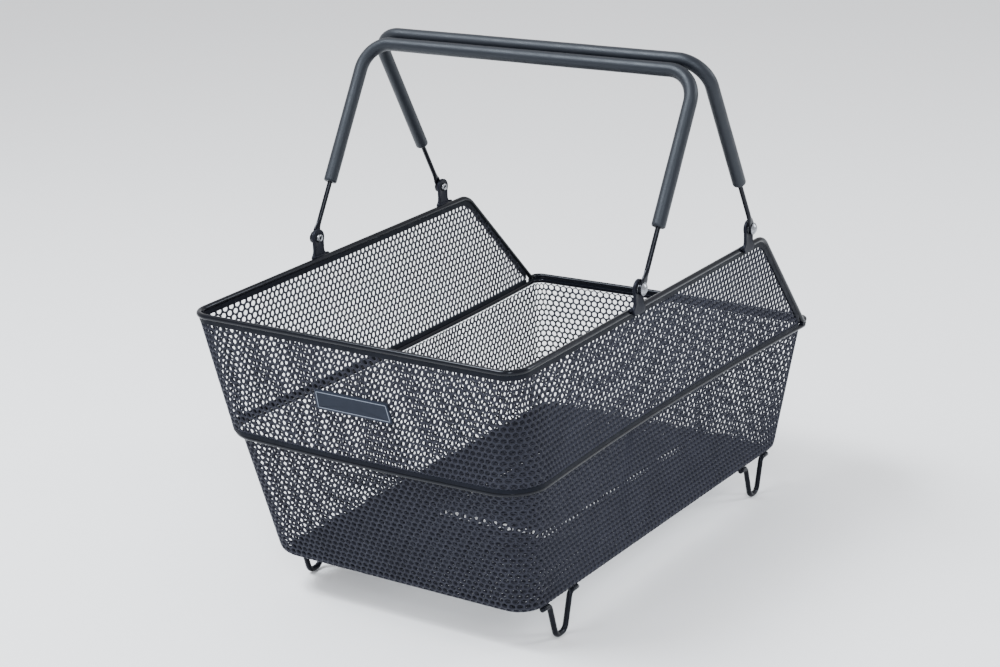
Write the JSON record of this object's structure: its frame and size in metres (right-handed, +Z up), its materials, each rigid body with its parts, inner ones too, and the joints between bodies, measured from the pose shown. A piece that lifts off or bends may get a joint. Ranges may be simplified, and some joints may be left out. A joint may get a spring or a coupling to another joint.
{
  "type": "bicycle rear carrier basket",
  "caption": "Tapered open-mesh rear carrier basket with a low far end, wire rim, wire feet and hinged carrying handles with foam grips.",
  "frame": {"origin": "middle of the footprint at ground level, on the underside of the wire feet", "axes": "+X along the basket from the badge end to the low end, +Y across to the left side seen from the badge end, +Z up"},
  "size_m": [0.484, 0.3232, 0.4251],
  "materials": {
    "coated_sheet": "open steel mesh, satin black coating with a bluish cast",
    "coated_wire": "glossy black coating",
    "strip": "satin dark grey coating",
    "bracket": "semi-gloss dark grey coating",
    "rivet": "bright zinc-plated steel",
    "foam": "satin closed-cell foam",
    "badge": "satin slate blue-grey"
  },
  "bodies": {
    "basket": {"upper_mesh_band": "coated_sheet", "lower_mesh_wall": "coated_sheet", "lower_mesh_floor": "coated_sheet", "top_rim_wire": "coated_wire", "top_rim_strip": "strip", "middle_ring_wire": "coated_wire", "middle_ring_strip": "strip", "bracket_near_left": "bracket", "bracket_near_right": "bracket", "bracket_far_left": "bracket", "bracket_far_right": "bracket", "rivet_near_left": "rivet", "rivet_near_right": "rivet", "rivet_far_left": "rivet", "rivet_far_right": "rivet", "washer_near_left": "rivet", "washer_near_right": "rivet", "washer_far_left": "rivet", "washer_far_right": "rivet", "foot_near_left": "coated_wire", "foot_near_right": "coated_wire", "foot_far_left": "coated_wire", "foot_far_right": "coated_wire", "badge_plate": "badge"},
    "near_handle": {"near_handle_grip": "foam", "near_handle_rod": "coated_wire"},
    "far_handle": {"far_handle_grip": "foam", "far_handle_rod": "coated_wire"}
  },
  "joints": [
    {"name": "near_handle_swing", "type": "hinge", "parent": "basket", "child": "near_handle", "pos_m": [-0.0773, 0, 0.26576], "axis": [0, -1, 0], "range_deg": [0, 125]},
    {"name": "far_handle_swing", "type": "hinge", "parent": "basket", "child": "far_handle", "pos_m": [0.1007, 0, 0.26954], "axis": [0, 1, 0], "range_deg": [0, 157]}
  ]
}
